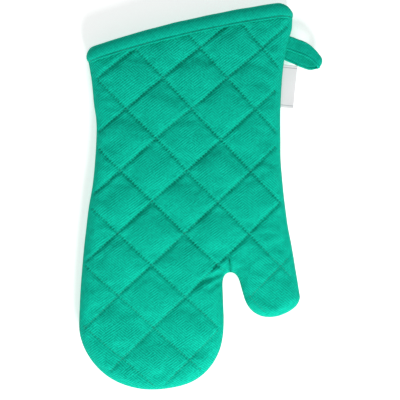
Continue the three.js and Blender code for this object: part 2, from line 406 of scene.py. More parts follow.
def simulatedLift(obj, co, held):
    # cloth simulation: the seams are pinned and the wadding lifts the cloth between them
    group = obj.vertex_groups.new(name="held")
    for i, w in enumerate(held):
        if w > 0:
            group.add([i], float(w), "REPLACE")
    cloth = obj.modifiers.new("wadding", "CLOTH")
    for key, value in clothSettings.items():
        setattr(cloth.settings, key, value)
    cloth.settings.effector_weights.gravity = 0
    cloth.collision_settings.use_collision = False
    cloth.point_cache.frame_start, cloth.point_cache.frame_end = 1, body["frames"]
    for step in range(1, body["frames"] + 1):
        bpy.context.scene.frame_set(step)
    seen = obj.evaluated_get(bpy.context.evaluated_depsgraph_get())
    moved = coords(seen.to_mesh()) - co
    seen.to_mesh_clear()
    size = np.linalg.norm(moved, axis=1)
    print("wadding lifts the cloth by up to", round(size.max() / mm, 2), "mm")
    cap = body["crown"] * mm
    moved *= (cap * np.tanh(size / cap) / np.maximum(size, tiny))[:, None]
    obj.modifiers.clear()
    obj.vertex_groups.clear()
    bpy.context.scene.frame_set(1)
    return co + moved


def puffUp(obj, arc):
    co, held = pinSeams(obj, arc)
    lifted = simulatedLift(obj, co, held)
    setCoords(obj.data, lifted)


def finer(obj):
    sub = obj.modifiers.new("smooth", "SUBSURF")
    sub.levels = sub.render_levels = 1
    return applied(obj)


mittBody = slab(body["slabHalf"] * mm, body["voxel"] * mm, "mittBody")
arc, flat = rollEdge(mittBody, 0, body["valley"] * mm)
keepAttribute(mittBody, "cloth", np.column_stack([flat, arc]))
print("padded body:", len(mittBody.data.vertices), "points")
puffUp(mittBody, arc)
puffed = mittBody.data.copy()      # the wadding is cut from this before the seams are sunk
finer(mittBody)

# Sewn seams, creases and the floor, after the simulation
seam = {
    "depth": {"rising": 1.1, "falling": 1.15},
    "width": {"rising": 1.6, "falling": 1.5},
    "pucker": 0.35,
    "refine": 2.6,         # finer faces this close to a line of quilting
    "refineMargin": -1.5,
    "refineEdge": 2.2,     # and this close to the side seam
    "edgeFade": (-2.5, 3),  # where the quilting fades in, from its first stitch, and over what length
    "cuffFade": (-2, 2),
    "edgeReach": 6.0,      # the side seam is drawn in this far
}
# the quilting is slacker on the thumb and towards the finger end
slack = {"thumb": 0.45, "thumbX": (22, 14), "thumbY": (-35, 20), "end": 0.4, "endY": (-45, 60)}
# soft unevenness: stretch of the noise along x, y and z, size of a fold, seed and height
gathers = {"stretch": (1, 1, 0.5), "size": 9, "seed": 3, "height": 0.45, "reach": 5, "clear": 1.6}
crossFolds = {"stretch": (0.4, 1, 0.4), "size": 17, "seed": 12, "height": 0.32}
swells = {"stretch": (1, 1, 1), "size": 30, "seed": 8, "height": 0.5, "edge": (3, 6)}
creases = [
    # folds that run into the crotch of the thumb, deepest where they start; dark is how much shade is
    # painted into each hollow
    {"from": (25.5, -65.4), "to": (23.2, -50), "depth": 4.2, "width": 1.2, "dark": 0.5},
    {"from": (18, -66), "to": (-4, -76), "depth": 2.6, "width": 2.4, "dark": 0.12},
    {"from": (19.5, -73), "to": (7, -78), "depth": 2.4, "width": 1.9, "dark": 0.2},
    {"from": (20, -62), "to": (6, -57), "depth": 0.9, "width": 2.2, "dark": 0.1},
    {"from": (29, -64), "to": (40, -60), "depth": 0.9, "width": 2.2, "dark": 0.12},
]
# how the creases taper and bank, and how wide their painted shade is, against each crease's width
creaseShape = {"taper": 0.7, "bank": 0.45, "bankAt": 1.9, "shade": 0.75}
floorGap = 0.05
floorGive = 0.02


def refineSeams(obj):
    # finer faces where the cloth is drawn in: along the quilting and at the side seam
    bm = bmesh.new()
    bm.from_mesh(obj.data)
    co = coords(obj.data)
    close = np.abs(co[:, 2]) < seam["refineEdge"] * mm
    inQuilt = quilted(co[:, :2], seam["refineMargin"])
    for lines in fans.values():
        close |= (np.abs(fanField(lines, co[:, :2])[0]) < seam["refine"] * mm) & inQuilt
    bm.verts.ensure_lookup_table()
    edges = [e for e in bm.edges if close[e.verts[0].index] and close[e.verts[1].index]]
    bmesh.ops.subdivide_edges(bm, edges=edges, cuts=1, use_grid_fill=True)
    bm.to_mesh(obj.data)
    bm.free()


def normals(mesh):
    out = np.empty(len(mesh.vertices) * 3, np.float32)
    mesh.vertex_normals.foreach_get("vector", out)
    return out.reshape(-1, 3).astype(float)


def segmentField(start, end, points):
    a, b = np.array(start) * mm, np.array(end) * mm
    run = b - a
    t = ((points - a) @ run) / (run @ run)
    off = points - a - np.clip(t, 0, 1)[:, None] * run
    return np.linalg.norm(off, axis=1), np.clip(t, 0, 1)


def restOnFloor(co):
    # the palm flattens where it lies on the floor
    bottom = -origin.z + floorGap * mm
    under = np.maximum(0, bottom - co[:, 2])
    co[:, 2] = np.where(under > 0, bottom + floorGive * mm * np.tanh(under / mm), co[:, 2])


def foldNoise(fold, co):
    return softNoise(co * np.array(fold["stretch"]), fold["size"] * mm, fold["seed"])


def fade(values, edge):
    return smooth((values / mm - edge[0]) / edge[1])


def quiltingShown(xy, far):
    # how strongly the quilting draws the cloth in: nowhere at the edges, less where it is slack
    low = cuffHeight(xy[:, 0]) - xy[:, 1]
    edgeFade, cuffFade = seam["edgeFade"], seam["cuffFade"]
    shown = fade(far, (quilt["edgeGap"] + edgeFade[0], edgeFade[1]))
    shown *= fade(low, (quilt["cuffGap"] + cuffFade[0], cuffFade[1]))
    (x, xEase), (y, yEase) = slack["thumbX"], slack["thumbY"]
    shown *= 1 - slack["thumb"] * fade(xy[:, 0], (x, xEase)) * fade(-xy[:, 1], (-y, yEase))
    y, yEase = slack["endY"]
    return shown * (1 - slack["end"] * fade(-xy[:, 1], (-y, yEase)))


def sinkSeams(obj):
    co, nor = coords(obj.data), normals(obj.data)
    xy = co[:, :2]
    far, _ = nearestOn(sidePath, xy)
    shown = quiltingShown(xy, far)
    sink = np.zeros(len(co))
    nearSeam = np.full(len(co), np.inf)
    for name, lines in fans.items():
        d, s, _ = fanField(lines, xy)
        # where each fan of quilting is, kept for the shade painted along its seams
        keepAttribute(obj, name, np.column_stack([d, s, shown]))
        pull = 1 - seam["pucker"] * np.cos(s * (2 * math.pi / (quilt["pitch"] * mm)))
        valley = np.exp(-(d / (seam["width"][name] * mm)) ** 2)
        sink = np.maximum(sink, seam["depth"][name] * mm * pull * valley)
        nearSeam = np.minimum(nearSeam, np.abs(d))
    sink *= shown
    # cloth gathered by the stitching, fading away from it
    offSeam = 1 - np.exp(-(nearSeam / (gathers["clear"] * mm)) ** 2)
    gather = foldNoise(gathers, co) * np.exp(-nearSeam / (gathers["reach"] * mm)) * offSeam
    co += nor * (gather * gathers["height"] * mm * shown)[:, None]
    co += nor * (foldNoise(crossFolds, co) * crossFolds["height"] * mm * shown)[:, None]
    co += nor * (foldNoise(swells, co) * swells["height"] * mm * fade(far, swells["edge"]))[:, None]
    co -= nor * sink[:, None]
    # side seam: the two panels meet in a fine valley
    pinchDepth, pinchWidth = body["seamPinch"]
    pinch = pinchDepth * mm * np.exp(-(co[:, 2] / (pinchWidth * mm)) ** 2)
    co -= nor * (pinch * (far < seam["edgeReach"] * mm))[:, None]
    # painted shade: the cloth's colour is darkened in the hollow of each crease, kept as the fold attribute
    shadow = np.zeros(len(co))
    for fold in creases:
        d, t = segmentField(fold["from"], fold["to"], xy)
        w = fold["width"] * mm
        taper = (1 - t) ** creaseShape["taper"]
        bank = creaseShape["bank"] * np.exp(-((d - creaseShape["bankAt"] * w) / w) ** 2)
        valley = fold["depth"] * (np.exp(-(d / w) ** 2) - bank)
        co[:, 2] -= nor[:, 2] * np.abs(nor[:, 2]) * valley * taper * mm
        shadow = np.maximum(shadow, fold["dark"] * taper * np.exp(-(d / (creaseShape["shade"] * w)) ** 2))
    keepAttribute(obj, "fold", shadow[:, None] * np.ones(3))
    restOnFloor(co)
    setCoords(obj.data, co)


refineSeams(mittBody)
sinkSeams(mittBody)
print("seams sunk:", len(mittBody.data.vertices), "points")

# Cutting the body into the panels it is sewn from
thumbLine = fans["rising"][5]     # the quilting line above the thumb
creaseLine = (np.array((23.3, -50)) * mm, np.array((25.5, -65.4)) * mm)


def aboveThumb(x, y):
    start, way = thumbLine
    return way[0] * (y - start[1]) - way[1] * (x - start[0]) > 0


def leftOfCrease(x, y):
    (ax, ay), (bx, by) = creaseLine
    return (bx - ax) * (y - ay) - (by - ay) * (x - ax) < 0


def onThumb(x, y):
    return not aboveThumb(x, y) and not leftOfCrease(x, y)


turnAt = int(np.argmin(sidePath[:, 1]))
leftSide, rightSide = sidePath[:turnAt], sidePath[turnAt:][::-1]


def crossing(path, drop):
    # where a side of the outline meets the cuff line lowered by drop
    gap = path[:, 1] - cuffHeight(path[:, 0]) + drop * mm
    i = np.nonzero(np.diff(np.sign(gap)))[0][0]
    t = gap[i] / (gap[i] - gap[i + 1])
    return path[i, 0] + t * (path[i + 1, 0] - path[i, 0])


# the folded edge rounds off and sags towards the side seams: little-finger side, then thumb side
corners = [{"dip": 0, "reach": 6.0, "sag": 0, "sagReach": 20, "proud": 1.8},
           {"dip": 6.4, "reach": 13, "sag": 1.2, "sagReach": 12, "proud": 0.2}]
taped = 12.5          # down to here the tape follows the corner
cornerRound = 1.9
cornerFade = 0.8


def cornerFall(x, left, right, drop):
    # how far the edge lies below the cuff line, at each x
    fall = np.zeros(np.shape(x))
    follows = (1 - min(1, drop / taped)) ** cornerFade
    for corner, off in zip(corners, (x - left, right - x)):
        dip = np.clip(1 - off / mm / corner["reach"], 0, 1) ** cornerRound
        sag = np.clip(1 - off / mm / corner["sagReach"], 0, 1) ** 2
        fall = fall + corner["dip"] * dip * follows + corner["sag"] * sag
    return fall * mm


def cutBody(mesh, cuffDrop):
    # cut along the cuff, the side seam and the root of the thumb
    bm = bmesh.new()
    bm.from_mesh(mesh)

    def cut(point, normal, clear=False):
        bmesh.ops.bisect_plane(bm, geom=bm.verts[:] + bm.edges[:] + bm.faces[:], dist=1e-7,
                               plane_co=point, plane_no=normal, clear_outer=clear)

    left, right = crossing(leftSide, cuffDrop), crossing(rightSide, cuffDrop)

    def edgeHeight(v):
        return cuffHeight(v.co.x) - cornerFall(v.co.x, left, right, cuffDrop)

    for v in bm.verts:
        v.co.y -= edgeHeight(v)
    cut((0, -cuffDrop * mm, 0), (0, 1, 0), clear=True)
    for v in bm.verts:
        v.co.y += edgeHeight(v)
    cut((0, 0, 0), (0, 0, 1))
    start, way = thumbLine
    cut((*start, 0), (-way[1], way[0], 0))
    a, b = creaseLine
    run = (b - a) / np.linalg.norm(b - a)
    cut((*a, 0), (-run[1], run[0], 0))
    return bm


def takePanel(cutMesh, name, side, section):
    # one panel of a body that was cut: side is 1 for the back and -1 for the palm
    bm = cutMesh.copy()
    drop = []
    for f in bm.faces:
        c = f.calc_center_median()
        if c.z * side < 0 or onThumb(c.x, c.y) != (section == "thumb"):
            drop.append(f)
    bmesh.ops.delete(bm, geom=drop, context="FACES")
    return toMesh(bm, name)


def thicken(obj, thickness):
    wall = obj.modifiers.new("thickness", "SOLIDIFY")
    wall.thickness, wall.offset, wall.use_even_offset, wall.use_rim = thickness * mm, -1, False, True
    return applied(obj)


def place(obj):
    obj.data.transform(Matrix.Translation(origin))
    obj.data.shade_smooth()
    return obj


def follow(obj, section):
    # bakes the piece's transform into its mesh; the thumb's pieces are handled like all others
    if section == "thumb":
        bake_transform(obj)
    else:
        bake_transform(obj)


sides = {"back": 1, "palm": -1}


def nodesOf(side, layer, section):
    parts = ["thumb"] if section == "thumb" else ["hand", "fingers"]
    return [f"{side}_{layer}_{part}" for part in parts]


def makePanels(cutMesh, layer, title, thickness):
    made = []
    for side, way in sides.items():
        for section in ("hand", "thumb"):
            obj = takePanel(cutMesh, side + title + section.capitalize(), way, section)
            if thickness:
                thicken(obj, thickness)
            place(obj)
            follow(obj, section)
            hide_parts(*nodesOf(side, layer, section))
            made.append(obj)
    cutMesh.free()
    print(title, "panels:", [len(o.data.polygons) for o in made])
    return made


# each layer of cloth ends a little below the cuff edge, inside the tape
layerDrop = {"cloth": 3.0, "wadding": 3.5, "lining": 2.5}
bareSkin = BVHTree.FromPolygons([v.co.copy() for v in mittBody.data.vertices],
                                [tuple(p.vertices) for p in mittBody.data.polygons])
clothThickness = 1.2
clothCut = cutBody(mittBody.data, layerDrop["cloth"])
outerPanels = makePanels(clothCut, "cloth", "Cloth", clothThickness)

# Wadding: the puffed body, drawn in by the thickness of the cloth
wadding = {"inset": 2.6, "thickness": 3.2, "offFloor": 2.5}
shrunk = coords(puffed) - normals(puffed) * wadding["inset"] * mm
shrunk[:, 2] = np.maximum(shrunk[:, 2], -origin.z + wadding["offFloor"] * mm)
setCoords(puffed, shrunk)
waddingCut = cutBody(puffed, layerDrop["wadding"])
waddingPanels = makePanels(waddingCut, "wadding", "Wadding", wadding["thickness"])

# Lining
lining = {
    "voxel": 4.0,
    "depth": 7.0,
    "height": 3.4,
    "thickness": 0.8,
    # the flat cut of each panel in metres, and its area, as the cuts follow the outline of the hand
    "handCut": {"flat": (0.172, 0.322), "area": 0.041},
    "thumbCut": {"flat": (0.057, 0.09), "area": 0.003},
}
liningBody = slab(body["slabHalf"] * mm, lining["voxel"] * mm, "liningBody")
liningArc, liningFlat = rollEdge(liningBody, lining["depth"], lining["height"] * mm)
keepAttribute(liningBody, "cloth", np.column_stack([liningFlat, liningArc]))
finer(liningBody)
liningCut = cutBody(liningBody.data, layerDrop["lining"])
liningPanels = makePanels(liningCut, "lining", "Lining", lining["thickness"])
for obj in (mittBody, liningBody):
    bpy.data.objects.remove(obj)

# Binding
# The tape is folded over the raw edges. Its section is (depth below the skin, drop from the cuff edge).
binding = {
    "outside": [(1.6, 13.7), (0.5, 13.8), (-0.3, 13.35), (-0.4, 12.75), (0.45, 11.95), (-0.2, 11.1),
                (-0.8, 9.8), (-1.1, 8.0), (-1.0, 6.0), (-0.6, 4.1), (0.25, 2.4), (1.4, 1.1),
                (2.9, 0.25), (4.6, 0.0)],
    "inside": [(6.3, 0.25), (7.7, 1.1), (8.8, 2.4), (9.3, 4.1), (9.4, 6.0), (9.4, 8.0),
               (9.3, 9.8), (9.2, 11.1), (8.9, 11.95), (9.2, 12.75), (9.3, 13.35), (9.0, 13.8),
               (8.2, 13.7)],
    "tape": 1.0,
    "skin": 12.0,          # half thickness of the mitt at the cuff
    "stations": 300,       # along each side of the mouth
    "pitch": 2.9,
    "stitch": 2.1,
    "stitchDrop": 11.95,
    "outerRow": 0.35,      # depths of the stitching below the skin
    "innerRow": 9.0,
    "thread": 0.5,
    "pucker": {"stretch": (1, 0.35, 1), "size": 7, "seed": 21, "height": 0.22, "reach": 4.5},
    "swell": {"stretch": (1, 1, 1), "size": 26, "seed": 5, "height": 0.18},
    "proudSpan": 15,       # the folded end bulges over this drop
    "square": 0.45,        # share of its inset that the outer tape keeps at the folded end
    "core": (4.6, 4.8),    # below this depth the share grows to one, over the second figure
}


def mouthRing(depth, drop, count):
    # closed ring round the mouth: along the back from the little-finger side, then back along the palm
    left, right = crossing(leftSide, drop), crossing(rightSide, drop)
    reach = body["edgeIn"] - depth
    swell = math.sin(math.pi * min(1, max(0, (drop + 1) / binding["proudSpan"]))) * mm
    arc, inset, up = edgeProfile(reach * mm, (binding["skin"] - depth) * mm, 40)
    # the folded end is pushed out square: only the inner layers keep their full inset
    square, (coreDepth, coreSpan) = binding["square"], binding["core"]
    tucked = depth * (square + (1 - square) * min(1, max(0, (depth - coreDepth) / coreSpan))) * mm
    x0, x1 = left + tucked - corners[0]["proud"] * swell, right - tucked + corners[1]["proud"] * swell
    total = 2 * arc[-1] + (x1 - x0) - 2 * reach * mm
    q = (np.arange(count) + 0.5) / count * total
    walk = np.minimum(q, total - q)
    step = np.interp(walk, arc, inset) + np.maximum(0, walk - arc[-1])
    x = np.where(q < total / 2, x0 + step, x1 - step)
    z = np.interp(walk, arc, up)
    x, z = np.concatenate([x, x[::-1]]), np.concatenate([z, -z[::-1]])
    y = cuffHeight(x) - drop * mm
    y -= cornerFall(x, x.min(), x.max(), drop)
    return np.column_stack([x, y, z])


def loft(rings, name, capped=False):
    # a skin made by extruding one ring of points from the last; it closes on itself unless it is capped
    bm = bmesh.new()
    ring = bmesh.ops.create_circle(bm, segments=len(rings[0]), radius=1)["verts"]
    loops, edges = [ring], bm.edges[:]
    for _ in rings[1:]:
        made = bmesh.ops.extrude_edge_only(bm, edges=edges)["geom"]
        fresh = {g for g in made if isinstance(g, bmesh.types.BMVert)}
        edges = [g for g in made if isinstance(g, bmesh.types.BMEdge) and fresh.issuperset(g.verts)]
        loops.append([next(e.other_vert(v) for e in v.link_edges if e.other_vert(v) in fresh)
                      for v in loops[-1]])
    for points, verts in zip(rings, loops):
        for v, p in zip(verts, points):
            v.co = p
    openEdges = [e for e in bm.edges if len(e.link_faces) < 2]
    if capped:
        bmesh.ops.holes_fill(bm, edges=openEdges)
    else:
        bmesh.ops.bridge_loops(bm, edges=openEdges)
    bmesh.ops.recalc_face_normals(bm, faces=bm.faces)
    return toMesh(bm, name)


def tapeSection(points, thickness):
    # both faces of a folded tape, the inner one a thickness inside the outer
    p = np.array(points, float)
    way = np.gradient(p, axis=0)
    way /= np.linalg.norm(way, axis=1)[:, None]
    inner = p + np.column_stack([-way[:, 1], way[:, 0]]) * thickness
    return np.concatenate([p, inner[::-1]])


section = tapeSection(binding["outside"] + binding["inside"], binding["tape"])
rings = [mouthRing(depth, drop, binding["stations"]) for depth, drop in section]
cuffBinding = loft(rings, "cuffBinding")
co, nor = coords(cuffBinding.data), normals(cuffBinding.data)
fall = cuffHeight(co[:, 0]) - co[:, 1]
offStitch = np.abs(fall - binding["stitchDrop"] * mm)
pucker, swell = binding["pucker"], binding["swell"]
wave = foldNoise(pucker, co) * pucker["height"] * mm
co += nor * (wave * np.exp(-offStitch / (pucker["reach"] * mm)))[:, None]
co += nor * (foldNoise(swell, co) * swell["height"] * mm)[:, None]
restOnFloor(co)
setCoords(cuffBinding.data, co)
keepAttribute(cuffBinding, "cloth", co)
place(cuffBinding)
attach(cuffBinding, "hand")
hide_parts("cuff_binding")
print("binding:", len(cuffBinding.data.polygons), "faces")


# Stitches: short floats of thread that dive between two needle holes
def sew(name, places, length, thread):
    # one stitch is doubled until there are enough, then each copy goes to its place
    bm = bmesh.new()
    corner, copy = bm.verts.layers.int.new("corner"), bm.verts.layers.int.new("copy")
    bmesh.ops.create_uvsphere(bm, u_segments=6, v_segments=5, radius=1)
    stitch = np.array([v.co for v in bm.verts])
    for i, v in enumerate(bm.verts):
        v[corner] = i
    made = 1
    while made < len(places):
        fresh = bmesh.ops.duplicate(bm, geom=bm.verts[:] + bm.edges[:] + bm.faces[:])["geom"]
        for v in fresh:
            if isinstance(v, bmesh.types.BMVert):
                v[copy] += made
        made *= 2
    bmesh.ops.delete(bm, geom=[v for v in bm.verts if v[copy] >= len(places)], context="VERTS")
    spots = []
    for centre, way, up in places:
        side = up.cross(way).normalized()
        axes = np.array((side * thread / 2, way.cross(side) * thread / 2, way * length / 2))
        spots.append(stitch @ axes + np.array(centre))
    for v in bm.verts:
        v.co = spots[v[copy]][v[corner]]
    obj = toMesh(bm, name)
    return place(obj)


def distances(points):
    # how far along a path each of its points lies
    return np.concatenate([[0], np.cumsum(np.linalg.norm(np.diff(points, axis=0), axis=1))])


def spotsAt(points, run, at):
    return np.column_stack([np.interp(at, run, row) for row in points.T])


def alongPath(points, pitch):
    # evenly spaced places on a path of points, and its direction there
    run = distances(points)
    at = np.arange(pitch / 2, run[-1], pitch)
    here = spotsAt(points, run, at)
    return here, spotsAt(points, run, at + pitch / 4) - here


rayStart = 0.03       # above the mitt
lineReach = 95        # stitches each way along a line, more than enough to cross the mitt
room = (0.11, 0.19)   # half width and half length of the area they are looked for in


def stitchOnSkin(spot, way, side):
    # a stitch laid on the sunken cloth between its two needle holes
    hits = []
    for shift in (-quilt["foot"], quilt["foot"]):
        p = spot + way * shift * quilt["pitch"] * mm
        hit = bareSkin.ray_cast(Vector((p[0], p[1], side * rayStart)), Vector((0, 0, -side)))
        if not hit[0]:
            return None
        hits.append(hit)
    up = (hits[0][1] + hits[1][1]).normalized()
    along = (hits[1][0] - hits[0][0]).normalized()
    return (hits[0][0] + hits[1][0]) / 2 + up * quilt["proud"] * mm, along, up


def quiltPlaces(side, section):
    places = []
    for lines in fans.values():
        for start, way in lines:
            s = np.arange(-lineReach, lineReach + 1) * quilt["pitch"] * mm
            spots = start + s[:, None] * way
            spots = spots[(np.abs(spots[:, 0]) < room[0]) & (np.abs(spots[:, 1]) < room[1])]
            spots = spots + wander(spots)[:, None] * np.array((-way[1], way[0]))
            for spot in spots[quilted(spots) & insideOutline(spots)]:
                if onThumb(*spot) == (section == "thumb"):
                    places.append(stitchOnSkin(spot, way, side))
    return [p for p in places if p]


threads = []
for side, way in sides.items():
    for section in ("hand", "thumb"):
        places = quiltPlaces(way, section)
        title = f"{side}Quilting{section.capitalize()}"
        obj = sew(title, places, quilt["stitch"] * mm, quilt["thread"] * mm)
        follow(obj, section)
        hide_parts(*nodesOf(side, "quilting_thread", section))
        threads.append(obj)

sideways = 0.5        # the row runs down the mitt's edge where its direction is steeper than this
rows = (("bindingStitchOutside", "binding_stitch_outside", binding["outerRow"], 1),
        ("bindingStitchInside", "binding_stitch_inside", binding["innerRow"], -1))
for name, replaced, depth, facing in rows:
    row = mouthRing(depth, binding["stitchDrop"], binding["stations"])
    here, ahead = alongPath(np.vstack([row, row[:1]]), binding["pitch"] * mm)
    places = []
    for p, w in zip(here, ahead):
        way = Vector(w).normalized()
        up = Vector((0, 0, 1 if p[2] > 0 else -1))
        if abs(way.z) > sideways:
            up = Vector((1 if p[0] > 0 else -1, 0, 0))
        places.append((Vector(p), way, up * facing))
    obj = sew(name, places, binding["stitch"] * mm, binding["thread"] * mm)
    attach(obj, "hand")
    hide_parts(replaced)
    threads.append(obj)

# Side seam thread, inside the edge
seamThread = {
    "inset": 4.0,
    "pitch": 3.2,
    "stitch": 2.6,
    "thread": 0.55,
    "cuffGap": 14.5,
    "nodes": {"hand": ["little_finger_side", "thumb_side", "crotch", "fingers"], "thumb": ["thumb"]},
}
seamPath = sidePath - outwardAt(sidePath) * seamThread["inset"] * mm
here, ahead = alongPath(seamPath, seamThread["pitch"] * mm)
lowEnough = here[:, 1] < cuffHeight(here[:, 0]) - seamThread["cuffGap"] * mm
for section, parts in seamThread["nodes"].items():
    places = []
    for p, w, low in zip(here, ahead, lowEnough):
        if low and onThumb(*p) == (section == "thumb"):
            places.append((Vector((*p, 0)), Vector((*w, 0)).normalized(), Vector((0, 0, 1))))
    title = "seamStitches" + section.capitalize()
    obj = sew(title, places, seamThread["stitch"] * mm, seamThread["thread"] * mm)
    follow(obj, section)
    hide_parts(*["seam_thread_" + part for part in parts])
    threads.append(obj)
print("stitches:", sum(len(o.data.polygons) for o in threads), "faces")

# Hanging loop: folded tape caught in the thumb-side seam
loop = {
    "root": (77.8, 118.4),
    "reach": 26.4,
    "width": 12.8,
    "thickness": 1.5,
    "height": 9.2,
    "tuck": 9.0,           # how far its ends go into the seam
    "leave": 0.9,          # half the gap between the legs at the seam
    "round": 3.4,          # how far the corners of the fold fall back
    "stitchIn": 2.2,       # from the edge of the tape to its stitching
    "groove": (0.5, 0.7),  # depth and width of the stitched line, and of the ridge beside it
    "ridge": (0.3, 0.6),
    "cup": 0.5,
    "swap": (2.2, -1.2),   # how the upper leg turns into the lower, along the tape
    "stations": 110,
    "rough": {"stretch": (1, 1, 1), "size": 9, "seed": 13, "height": 0.12},
    # the middle of each leg, from where it leaves the seam to the fold
    "upper": [(-9, 14.0), (0, 11.0), (12.4, 6.0), (19.6, 1.9), (27.1, -3.8)],
    "lower": [(-9, 5.5), (0, 1.6), (7.9, -1.9), (15.6, -3.7), (25.8, -3.8)],
}


def loopPath(count):
    # down the middle of the tape: out along the upper leg, round the fold and back
    half = (loop["height"] - loop["thickness"]) / 2
    bend = loop["reach"] - loop["height"] / 2
    root = Vector((-loop["tuck"], loop["leave"], 0))
    bows = [(0.5, loop["leave"]), (bend * 0.3, loop["leave"]), (bend * 0.4, half), (bend * 0.8, half)]
    leg = [root] + list(interpolate_bezier(*[Vector((*bow, 0)) for bow in bows], 14))
    turn = [Vector((bend + half * math.sin(a), half * math.cos(a), 0)) for a in np.linspace(0, math.pi, 16)]
    line = leg + turn + [Vector((p.x, -p.y, 0)) for p in reversed(leg)]
    points = np.array([(p.x, p.y) for p in line])
    run = distances(points)
    return spotsAt(points, run, np.linspace(0, run[-1], count))


def onLoop(x, across, z, leg):
    # from the loop's own section to the mitt: leg is 1 on the upper leg and 0 on the lower
    middles = [np.polyval(np.polyfit(*np.array(loop[name], float).T, 3), x) for name in ("upper", "lower")]
    y = across - loop["width"] / 2 + middles[0] * leg + middles[1] * (1 - leg)
    fallBack = (2 * across / loop["width"] - 1) ** 2 * (np.clip(x, 0, None) / loop["reach"]) ** 3
    x = x - loop["round"] * fallBack
    return np.column_stack([x + loop["root"][0], y + loop["root"][1], z]) * mm


def tapeRise(across):
    # half thickness of the folded tape: round at its edges, with a ridge and a stitched groove near one
    half = loop["thickness"] / 2
    (depth, grooveWidth), (rise, ridgeWidth) = loop["groove"], loop["ridge"]
    groove = depth * np.exp(-((across - loop["stitchIn"]) / grooveWidth) ** 2)
    ridge = rise * np.exp(-((across - loop["stitchIn"] / 2 - 0.2) / ridgeWidth) ** 2)
    toEdge = np.minimum(across, loop["width"] - across)
    ease = np.sqrt(np.clip(1 - (np.maximum(0, half - toEdge) / half) ** 2, 0.02, 1))
    return (half * (1 - groove) + ridge) * ease


edgeSteps = [0.0, 0.12, 0.35]
across = np.concatenate([
    edgeSteps, np.linspace(0.8, loop["width"] - 0.8, 20), [loop["width"] - e for e in reversed(edgeSteps)]])
wide = np.concatenate([across, across[::-1]])
lift = np.concatenate([tapeRise(across), -tapeRise(across)[::-1]])
line = loopPath(loop["stations"])
way = np.gradient(line, axis=0)
way /= np.linalg.norm(way, axis=1)[:, None]
rings = []
for (x, z), (wx, wz), leg in zip(line, way, smooth(np.linspace(*loop["swap"], len(line)))):
    cup = loop["cup"] * ((wide / loop["width"] - 0.5) ** 2 - 0.1) * np.clip(x / 8, 0, 1)
    rings.append(onLoop(x - wz * (lift + cup), wide, z + wx * (lift + cup), leg))
hangingLoop = loft(rings, "hangingLoop", capped=True)
co, nor = coords(hangingLoop.data), normals(hangingLoop.data)
co += nor * (foldNoise(loop["rough"], co) * loop["rough"]["height"] * mm)[:, None]
setCoords(hangingLoop.data, co)
keepAttribute(hangingLoop, "cloth", co)
place(hangingLoop)
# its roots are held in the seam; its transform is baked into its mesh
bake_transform(hangingLoop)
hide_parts("hanging_loop")
print("loop:", len(hangingLoop.data.polygons), "faces")

# Side label: a woven strip folded double, both ends in the seam
label = {
    "top": (73, 112),
    "bottom": (69.4, 75.2),
    "reach": 9.6,
    "tuck": 6,
    "thickness": 0.4,
    "gap": 0.35,           # between its two layers
    "fold": 0.5,           # how far the fold goes past them
    "wave": 0.35,
    "pace": (5.2, 0.6),    # turn of the wave from end to end, and its start
    "droop": 0.5,
    "stations": 60,
    "lineIn": 2.4,         # from the end to the marker line, and half its width
    "lineHalf": 0.35,
    "rib": 0.8,
}
foot, end = np.array(label["top"], float), np.array(label["bottom"], float)
labelLength = np.linalg.norm(end - foot)
downLabel = (end - foot) / labelLength
outLabel = np.array((-downLabel[1], downLabel[0]))
half = label["gap"] / 2 + label["thickness"]
layer = np.linspace(-label["tuck"], label["reach"] - 0.1, 14)
fold = [(x, half) for x in layer]
for a in np.linspace(math.pi / 2, -math.pi / 2, 9)[1:-1]:
    fold.append((label["reach"] + label["fold"] * math.cos(a), half * math.sin(a)))
fold += [(x, -half) for x in reversed(layer)]
section = tapeSection(fold, -label["thickness"])
pace, first = label["pace"]
rings = []
for t in np.linspace(0, 1, label["stations"]):
    hang = label["wave"] * math.sin(t * pace + first) - label["droop"] * math.sin(math.pi * t)
    spots = foot + downLabel * labelLength * t + section[:, :1] * outLabel
    z = section[:, 1] + (section[:, 0] / label["reach"]).clip(0, 1) ** 1.5 * hang
    rings.append(np.column_stack([spots, z]) * mm)
sideLabel = loft(rings, "sideLabel", capped=True)
co = coords(sideLabel.data)
fromFoot = co[:, :2] - foot * mm
keepAttribute(sideLabel, "cloth", np.column_stack([fromFoot @ outLabel, fromFoot @ downLabel, co[:, 2]]))
place(sideLabel)
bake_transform(sideLabel)
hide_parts("side_label")
print("label:", len(sideLabel.data.polygons), "faces")

# Materials
def node(tree, kind, inputs=None, **settings):
    made = tree.nodes.new(kind)
    for key, value in settings.items():
        setattr(made, key, value)
    for key, value in (inputs or {}).items():
        if isinstance(value, bpy.types.NodeSocket):
            tree.links.new(value, made.inputs[key])
        else:
            made.inputs[key].default_value = value
    return made


def linear(hexColour, gain=1.0):
    out = []
    for i in (1, 3, 5):
        c = int(hexColour[i:i + 2], 16) / 255
        out.append(min(1, gain * (c / 12.92 if c <= 0.04045 else ((c + 0.055) / 1.055) ** 2.4)))
    return (*out, 1)


def maths(tree, operation, *values):
    return node(tree, "ShaderNodeMath", dict(enumerate(values)), operation=operation).outputs[0]


def vectorMaths(tree, operation, first, second):
    made = node(tree, "ShaderNodeVectorMath", {0: first, 1: second}, operation=operation)
    return made.outputs["Value" if operation == "DOT_PRODUCT" else "Vector"]


def scaled(tree, vector, factor):
    return node(tree, "ShaderNodeVectorMath", {0: vector, "Scale": factor}, operation="SCALE").outputs[0]


def noise(tree, vector, scale, detail, roughness=0.5):
    return node(tree, "ShaderNodeTexNoise",
                {"Vector": vector, "Scale": scale, "Detail": detail, "Roughness": roughness})


def mapped(tree, value, low, high, to=(0, 1)):
    limits = {"From Min": low, "From Max": high, "To Min": to[0], "To Max": to[1]}
    return node(tree, "ShaderNodeMapRange", {"Value": value, **limits}, clamp=True).outputs[0]


